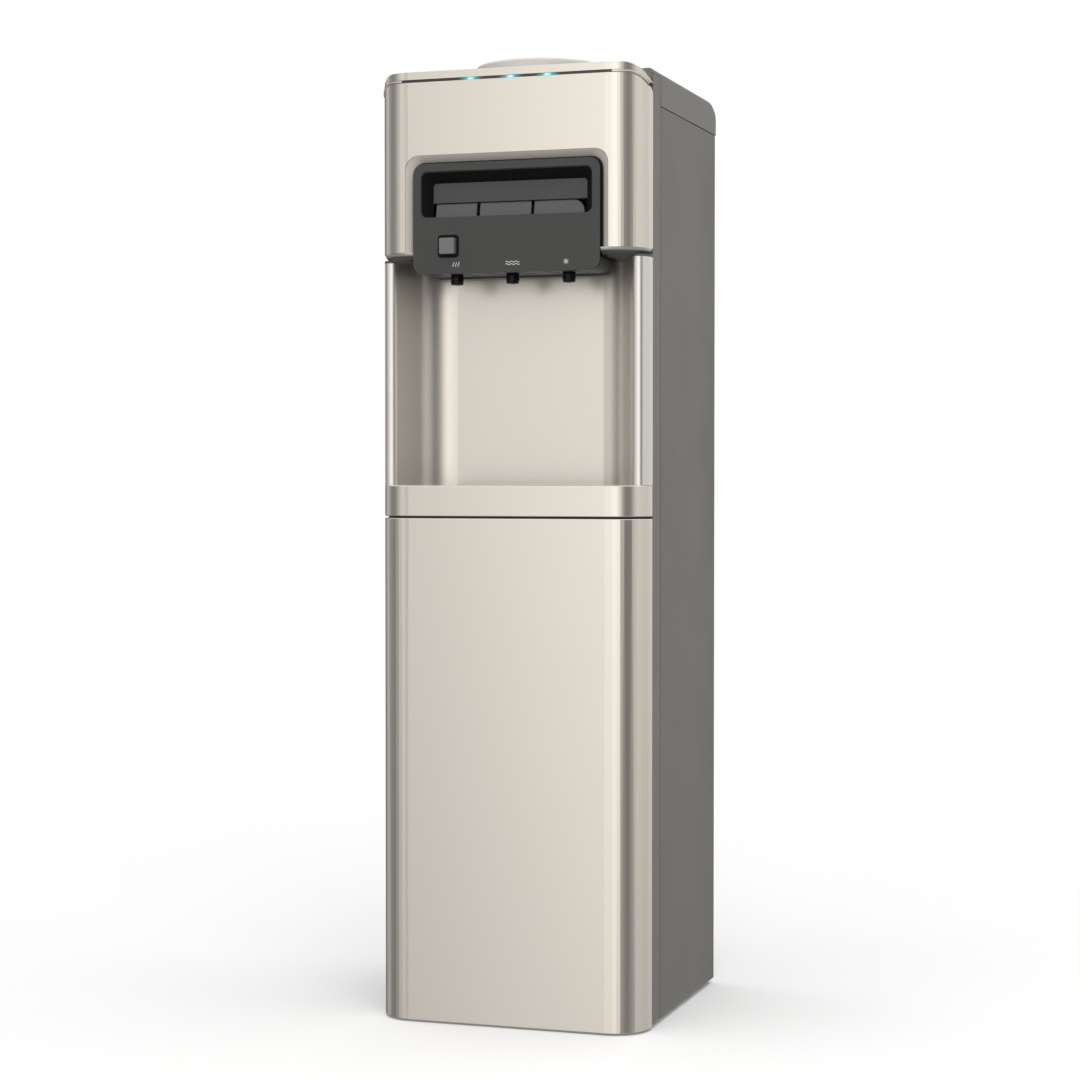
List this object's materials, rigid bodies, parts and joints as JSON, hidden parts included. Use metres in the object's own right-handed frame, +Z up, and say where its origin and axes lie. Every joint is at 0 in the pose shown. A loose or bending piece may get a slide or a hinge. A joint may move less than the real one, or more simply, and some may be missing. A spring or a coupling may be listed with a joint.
{
  "type": "top load water cooler",
  "caption": "Slim floor-standing water dispenser with a bottle collar on top, push keys and nozzles over a flared niche, and a wire condenser at the back.",
  "frame": {"origin": "on the floor under the middle of the whole outline", "axes": "+Z up, the front with the keys faces -Y, +X to the right of a person facing it"},
  "size_m": [0.306, 0.322, 1.0584],
  "materials": {
    "champagne_plastic": "satin pearl lacquer",
    "grey_steel": "satin powder coat",
    "grey_plastic": "fine grain",
    "dark_plastic": "fine grain",
    "key_plastic": "fine grain",
    "button_plastic": "satin",
    "black_plastic": "satin",
    "collar_plastic": "satin",
    "white_plastic": "satin",
    "hose": "translucent white silicone",
    "foam": "expanded bead foam",
    "stainless": "brushed",
    "zinc_sheet": "galvanised",
    "copper": "drawn copper",
    "black_steel": "semi-gloss lacquer",
    "rubber": "matt",
    "lens": "polished",
    "light_window": "lit",
    "circuit_board": "solder mask",
    "red_plastic": "polished",
    "green_plastic": "polished",
    "heater": "mica and tinned steel"
  },
  "bodies": {
    "cabinet": {"lower_front_panel": "champagne_plastic", "sill_panel": "champagne_plastic", "niche_liner": "champagne_plastic", "upper_front_panel": "champagne_plastic", "front_cap": "champagne_plastic", "light_strip": "lens", "status_lights": "light_window", "light_board": "circuit_board", "control_fascia": "dark_plastic", "recess_plate": "dark_plastic", "key_rod": "stainless", "lock_bezel": "black_plastic", "tap_housing": "dark_plastic", "hot_tap": "key_plastic", "ambient_tap": "key_plastic", "cold_tap": "key_plastic", "hot_nozzle": "black_plastic", "ambient_nozzle": "black_plastic", "cold_nozzle": "black_plastic", "left_side_panel": "grey_steel", "right_side_panel": "grey_steel", "top_cover": "grey_plastic", "bottle_collar": "collar_plastic", "collar_cup": "white_plastic", "feed_probe": "stainless", "base_tray": "zinc_sheet", "feet": "rubber", "tank_shelf": "zinc_sheet", "tank_foam": "foam", "cold_tank": "stainless", "tank_lid": "white_plastic", "evaporator_coil": "copper", "hot_tank": "stainless", "heater_band": "heater", "hot_tank_bracket": "zinc_sheet", "water_hoses": "hose", "compressor": "black_steel", "compressor_mounts": "rubber", "filter_drier": "copper", "refrigerant_pipes": "copper", "rear_panel": "zinc_sheet", "condenser": "black_steel", "condenser_wires": "black_steel", "condenser_brackets": "zinc_sheet", "switch_housing": "black_plastic", "drain_spigot": "white_plastic", "cord_gland": "black_plastic", "rear_screws": "stainless"},
    "hot_key": {"hot_key": "key_plastic"},
    "ambient_key": {"ambient_key": "key_plastic"},
    "cold_key": {"cold_key": "key_plastic"},
    "hot_plunger": {"hot_plunger": "stainless"},
    "ambient_plunger": {"ambient_plunger": "stainless"},
    "cold_plunger": {"cold_plunger": "stainless"},
    "lock": {"lock_button": "button_plastic"},
    "tray": {"drip_tray": "dark_plastic"},
    "grille": {"drip_grille": "black_plastic"},
    "heating_rocker": {"heating_switch": "red_plastic"},
    "cooling_rocker": {"cooling_switch": "green_plastic"},
    "cap": {"drain_cap": "black_plastic"}
  },
  "joints": [
    {"name": "hot_key_hinge", "type": "hinge", "parent": "cabinet", "child": "hot_key", "pos_m": [-0.0615, -0.143, 0.8562], "axis": [-1, 0, 0], "range_deg": [0, 8], "stiffness_Nm_per_rad": 0.6, "springref_deg": -2.86},
    {"name": "hot_plunger_slide", "type": "slide", "parent": "cabinet", "child": "hot_plunger", "axis": [0, 1, 0], "range_m": [0, 0.0032]},
    {"name": "ambient_key_hinge", "type": "hinge", "parent": "cabinet", "child": "ambient_key", "pos_m": [-0.005, -0.143, 0.8562], "axis": [-1, 0, 0], "range_deg": [0, 8], "stiffness_Nm_per_rad": 0.6, "springref_deg": -2.86},
    {"name": "ambient_plunger_slide", "type": "slide", "parent": "cabinet", "child": "ambient_plunger", "axis": [0, 1, 0], "range_m": [0, 0.0032]},
    {"name": "cold_key_hinge", "type": "hinge", "parent": "cabinet", "child": "cold_key", "pos_m": [0.0565, -0.143, 0.8562], "axis": [-1, 0, 0], "range_deg": [0, 8], "stiffness_Nm_per_rad": 0.6, "springref_deg": -2.86},
    {"name": "cold_plunger_slide", "type": "slide", "parent": "cabinet", "child": "cold_plunger", "axis": [0, 1, 0], "range_m": [0, 0.0032]},
    {"name": "lock_press", "type": "slide", "parent": "cabinet", "child": "lock", "axis": [0, 1, 0], "range_m": [0, 0.002], "stiffness_N_per_m": 300, "springref_m": -0.001},
    {"name": "tray_lift", "type": "slide", "parent": "cabinet", "child": "tray", "axis": [0, 0, 1], "range_m": [0, 0.06]},
    {"name": "grille_lift", "type": "slide", "parent": "tray", "child": "grille", "axis": [0, 0, 1], "range_m": [0, 0.04]},
    {"name": "heating_rocker_tilt", "type": "hinge", "parent": "cabinet", "child": "heating_rocker", "pos_m": [0.02, 0.148, 0.9404], "axis": [1, 0, 0], "range_deg": [0, 24]},
    {"name": "cooling_rocker_tilt", "type": "hinge", "parent": "cabinet", "child": "cooling_rocker", "pos_m": [-0.02, 0.148, 0.9404], "axis": [1, 0, 0], "range_deg": [0, 24]},
    {"name": "cap_turn", "type": "hinge", "parent": "cabinet", "child": "cap", "pos_m": [-0.126, 0.145, 0.42], "axis": [0, 1, 0], "range_deg": [0, 720]}
  ],
  "couplings": [
    {"joint": "hot_plunger_slide", "follows": "hot_key_hinge", "m_per_rad": 0.021},
    {"joint": "ambient_plunger_slide", "follows": "ambient_key_hinge", "m_per_rad": 0.021},
    {"joint": "cold_plunger_slide", "follows": "cold_key_hinge", "m_per_rad": 0.021}
  ]
}
